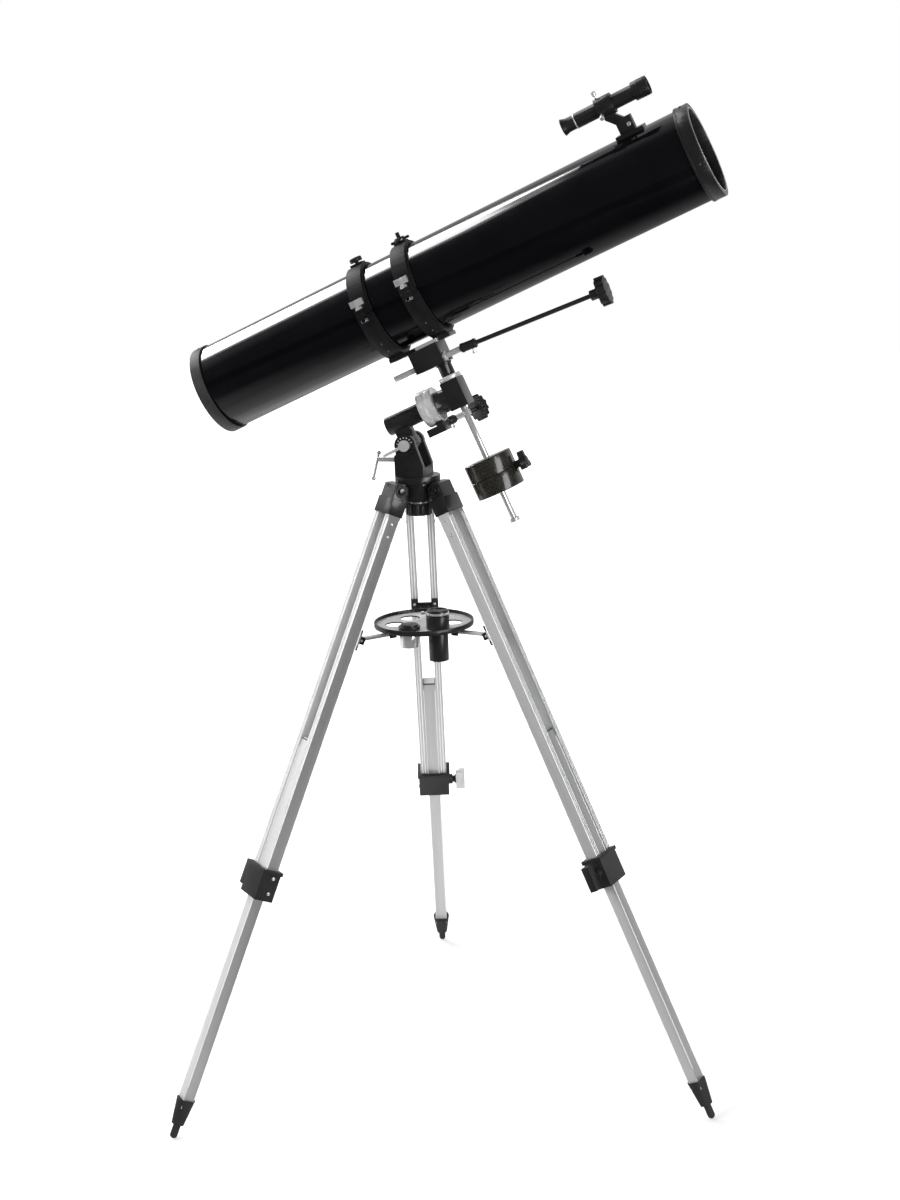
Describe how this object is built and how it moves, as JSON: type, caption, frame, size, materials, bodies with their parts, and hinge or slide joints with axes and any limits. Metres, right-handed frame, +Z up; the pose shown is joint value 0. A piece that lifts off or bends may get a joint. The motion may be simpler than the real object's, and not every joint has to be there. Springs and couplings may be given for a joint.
{
  "type": "telescope on tripod",
  "caption": "Black reflecting telescope in tube rings on a counterweighted equatorial mount, with a folding aluminium tripod and an accessory tray.",
  "frame": {"origin": "on the floor, on the tripod's vertical axis, midway between the three feet", "axes": "+Z up, +X the way the open end of the tube points, +Y towards the side that the focuser is on"},
  "size_m": [0.8595, 0.8388, 1.6005],
  "materials": {
    "black_casting": "satin black paint on a casting",
    "hammered_iron": "black hammered paint",
    "black_plastic": "satin",
    "black_rubber": "matt",
    "leg_aluminium": "satin anodised",
    "gloss_tube": "gloss black",
    "mirror": "front-silvered glass",
    "bright_steel": "bright plated"
  },
  "bodies": {
    "tripod_head": {"hub": "black_casting", "hinge_bolts": "bright_steel"},
    "azimuth_knob": {"azimuth_knob": "black_plastic"},
    "spreader_tray": {"tray": "leg_aluminium"},
    "eyepiece": {"eyepiece": "bright_steel"},
    "barlow": {"barlow": "black_plastic"},
    "azimuth_base": {"yoke": "black_casting"},
    "latitude_lock": {"latitude_bolt": "bright_steel"},
    "latitude_screw": {"latitude_screw": "bright_steel"},
    "polar_head": {"polar_housing": "black_casting"},
    "polar_circle": {"polar_circle": "leg_aluminium"},
    "polar_worm": {"polar_worm": "bright_steel"},
    "polar_cable": {"polar_cable": "black_plastic"},
    "declination_head": {"polar_shaft": "bright_steel", "dec_housing": "black_casting", "dec_shaft": "bright_steel", "weight_shaft": "bright_steel", "toe_stop": "bright_steel"},
    "dec_circle": {"dec_circle": "leg_aluminium"},
    "counterweight": {"counterweight": "hammered_iron"},
    "weight_knob": {"weight_knob": "black_plastic"},
    "cradle": {"saddle": "black_casting", "ring_lowers": "black_casting"},
    "dec_worm": {"dec_worm": "bright_steel"},
    "dec_cable": {"dec_cable": "black_plastic"},
    "ring_rear": {"ring_top_rear": "black_casting"},
    "ring_front": {"ring_top_front": "black_casting"},
    "camera_screw": {"camera_screw": "bright_steel"},
    "telescope": {"tube": "gloss_tube", "rear_cell": "black_plastic", "mirrors": "mirror", "front_ring": "black_plastic", "spider": "black_plastic", "thumb_screws": "bright_steel", "focuser_base": "black_plastic", "finder_bracket": "black_plastic", "finder_scope": "black_plastic"},
    "drawtube": {"drawtube": "bright_steel"},
    "focus_knobs": {"focus_pinion": "black_plastic"},
    "upper_leg_1": {"leg_head_1": "black_plastic", "rails_1": "leg_aluminium", "collar_1": "black_plastic"},
    "lower_leg_1": {"lower_leg_1": "leg_aluminium", "foot_1": "black_rubber"},
    "leg_knob_1": {"leg_knob_1": "black_plastic"},
    "arm_1": {"arm_1": "leg_aluminium"},
    "upper_leg_2": {"leg_head_2": "black_plastic", "rails_2": "leg_aluminium", "collar_2": "black_plastic"},
    "lower_leg_2": {"lower_leg_2": "leg_aluminium", "foot_2": "black_rubber"},
    "leg_knob_2": {"leg_knob_2": "black_plastic"},
    "arm_2": {"arm_2": "leg_aluminium"},
    "upper_leg_3": {"leg_head_3": "black_plastic", "rails_3": "leg_aluminium", "collar_3": "black_plastic"},
    "lower_leg_3": {"lower_leg_3": "leg_aluminium", "foot_3": "black_rubber"},
    "leg_knob_3": {"leg_knob_3": "black_plastic"},
    "arm_3": {"arm_3": "leg_aluminium"}
  },
  "joints": [
    {"name": "azimuth_turn", "type": "hinge", "parent": "tripod_head", "child": "azimuth_base", "pos_m": [0, 0, 0.997], "axis": [0, 0, 1], "continuous": true},
    {"name": "azimuth_knob_turn", "type": "hinge", "parent": "tripod_head", "child": "azimuth_knob", "pos_m": [0, 0, 0.95], "axis": [0, 0, 1], "continuous": true},
    {"name": "latitude_tilt", "type": "hinge", "parent": "azimuth_base", "child": "polar_head", "pos_m": [-0.01, 0, 1.059], "axis": [0, -1, 0], "range_deg": [-5, 30]},
    {"name": "latitude_lock_turn", "type": "hinge", "parent": "azimuth_base", "child": "latitude_lock", "pos_m": [-0.01, 0, 1.059], "axis": [0, 1, 0], "range_deg": [-20, 40]},
    {"name": "latitude_screw_turn", "type": "hinge", "parent": "azimuth_base", "child": "latitude_screw", "pos_m": [-0.045, 0, 1.032], "axis": [1, 0, 0], "continuous": true},
    {"name": "polar_circle_turn", "type": "hinge", "parent": "polar_head", "child": "polar_circle", "pos_m": [0.0211, 0, 1.11287], "axis": [0.9171, 0, 0.3987], "continuous": true},
    {"name": "polar_turn", "type": "hinge", "parent": "polar_head", "child": "declination_head", "pos_m": [0.07154, 0, 1.1348], "axis": [0.9171, 0, 0.3987], "range_deg": [-60, 45]},
    {"name": "polar_worm_turn", "type": "hinge", "parent": "polar_head", "child": "polar_worm", "pos_m": [0.04486, 0, 1.08831], "axis": [0, 1, 0], "continuous": true},
    {"name": "polar_cable_turn", "type": "hinge", "parent": "polar_head", "child": "polar_cable", "pos_m": [0.04486, 0.03, 1.08831], "axis": [0.5821, 0.7727, 0.2531], "continuous": true},
    {"name": "dec_circle_turn", "type": "hinge", "parent": "declination_head", "child": "dec_circle", "pos_m": [0.05958, 0, 1.16231], "axis": [-0.3987, 0, 0.9171], "continuous": true},
    {"name": "declination_turn", "type": "hinge", "parent": "declination_head", "child": "cradle", "pos_m": [0.04761, 0, 1.18982], "axis": [-0.3987, 0, 0.9171], "continuous": true},
    {"name": "dec_worm_turn", "type": "hinge", "parent": "cradle", "child": "dec_worm", "pos_m": [0.04662, -0.02, 1.19212], "axis": [0.9171, 0, 0.3987], "continuous": true},
    {"name": "dec_cable_turn", "type": "hinge", "parent": "cradle", "child": "dec_cable", "pos_m": [0.08513, -0.02, 1.20886], "axis": [0.9379, 0, 0.3469], "continuous": true},
    {"name": "weight_slide", "type": "slide", "parent": "declination_head", "child": "counterweight", "axis": [-0.3987, 0, 0.9171], "range_m": [-0.044, 0.006]},
    {"name": "weight_knob_turn", "type": "hinge", "parent": "counterweight", "child": "weight_knob", "pos_m": [0.17202, 0, 1.0291], "axis": [0.9171, 0, 0.3987], "continuous": true},
    {"name": "ring_rear_open", "type": "hinge", "parent": "cradle", "child": "ring_rear", "pos_m": [-0.05179, 0.084, 1.26797], "axis": [-0.9171, 0, -0.3987], "range_deg": [0, 110]},
    {"name": "ring_front_open", "type": "hinge", "parent": "cradle", "child": "ring_front", "pos_m": [0.02066, 0.084, 1.29947], "axis": [-0.9171, 0, -0.3987], "range_deg": [0, 110]},
    {"name": "camera_screw_turn", "type": "hinge", "parent": "ring_front", "child": "camera_screw", "pos_m": [-0.01005, 0, 1.37008], "axis": [-0.3987, 0, 0.9171], "continuous": true},
    {"name": "tube_turn", "type": "hinge", "parent": "cradle", "child": "telescope", "pos_m": [0.00323, 0, 1.29189], "axis": [0.9171, 0, 0.3987], "continuous": true},
    {"name": "focus_slide", "type": "slide", "parent": "telescope", "child": "drawtube", "axis": [-0.1622, 0.9135, 0.373], "range_m": [-0.006, 0.035]},
    {"name": "focus_knob_turn", "type": "hinge", "parent": "telescope", "child": "focus_knobs", "pos_m": [0.30576, 0.10335, 1.44377], "axis": [0.9171, 0, 0.3987], "range_deg": [-80, 450]},
    {"name": "leg_fold_1", "type": "hinge", "parent": "tripod_head", "child": "upper_leg_1", "pos_m": [-0.01103, 0.03845, 0.987], "axis": [-0.9613, -0.2756, 0], "range_deg": [0, 4]},
    {"name": "leg_extend_1", "type": "slide", "parent": "upper_leg_1", "child": "lower_leg_1", "axis": [-0.1153, 0.4023, -0.9082], "range_m": [-0.12, 0.12]},
    {"name": "leg_knob_turn_1", "type": "hinge", "parent": "upper_leg_1", "child": "leg_knob_1", "pos_m": [-0.04813, 0.31296, 0.39211], "axis": [-0.9613, -0.2756, 0], "continuous": true},
    {"name": "arm_fold_1", "type": "hinge", "parent": "upper_leg_1", "child": "arm_1", "pos_m": [-0.03308, 0.11536, 0.756], "axis": [-0.9613, -0.2756, 0], "range_deg": [0, 38.05]},
    {"name": "leg_fold_2", "type": "hinge", "parent": "tripod_head", "child": "upper_leg_2", "pos_m": [-0.02779, -0.02877, 0.987], "axis": [0.7193, -0.6947, 0], "range_deg": [0, 4]},
    {"name": "leg_extend_2", "type": "slide", "parent": "upper_leg_2", "child": "lower_leg_2", "axis": [-0.2907, -0.301, -0.9082], "range_m": [-0.12, 0.12]},
    {"name": "leg_knob_turn_2", "type": "hinge", "parent": "upper_leg_2", "child": "leg_knob_2", "pos_m": [-0.24696, -0.19816, 0.39211], "axis": [0.7193, -0.6947, 0], "continuous": true},
    {"name": "arm_fold_2", "type": "hinge", "parent": "upper_leg_2", "child": "arm_2", "pos_m": [-0.08336, -0.08633, 0.756], "axis": [0.7193, -0.6947, 0], "range_deg": [0, 38.05]},
    {"name": "leg_fold_3", "type": "hinge", "parent": "tripod_head", "child": "upper_leg_3", "pos_m": [0.03881, -0.00968, 0.987], "axis": [0.2419, 0.9703, 0], "range_deg": [0, 4]},
    {"name": "leg_extend_3", "type": "slide", "parent": "upper_leg_3", "child": "lower_leg_3", "axis": [0.406, -0.1012, -0.9082], "range_m": [-0.12, 0.12]},
    {"name": "leg_knob_turn_3", "type": "hinge", "parent": "upper_leg_3", "child": "leg_knob_3", "pos_m": [0.29509, -0.1148, 0.39211], "axis": [0.2419, 0.9703, 0], "continuous": true},
    {"name": "arm_fold_3", "type": "hinge", "parent": "upper_leg_3", "child": "arm_3", "pos_m": [0.11644, -0.02903, 0.756], "axis": [0.2419, 0.9703, 0], "range_deg": [0, 38.05]},
    {"name": "tray_rise", "type": "slide", "parent": "tripod_head", "child": "spreader_tray", "axis": [0, 0, 1], "range_m": [0, 0.03541]},
    {"name": "eyepiece_lift", "type": "slide", "parent": "spreader_tray", "child": "eyepiece", "axis": [0, 0, 1], "range_m": [0, 0.06]},
    {"name": "barlow_lift", "type": "slide", "parent": "spreader_tray", "child": "barlow", "axis": [0, 0, 1], "range_m": [0, 0.08]}
  ],
  "couplings": [
    {"joint": "polar_cable_turn", "follows": "polar_worm_turn", "ratio": 1},
    {"joint": "dec_cable_turn", "follows": "dec_worm_turn", "ratio": 1},
    {"joint": "focus_knob_turn", "follows": "focus_slide", "rad_per_m": 200},
    {"joint": "arm_fold_1", "follows": "leg_fold_1", "ratio": 9.5094},
    {"joint": "leg_fold_2", "follows": "leg_fold_1", "ratio": 1},
    {"joint": "arm_fold_2", "follows": "leg_fold_1", "ratio": 9.5094},
    {"joint": "leg_fold_3", "follows": "leg_fold_1", "ratio": 1},
    {"joint": "arm_fold_3", "follows": "leg_fold_1", "ratio": 9.5094},
    {"joint": "tray_rise", "follows": "leg_fold_1", "m_per_rad": 0.50573}
  ]
}
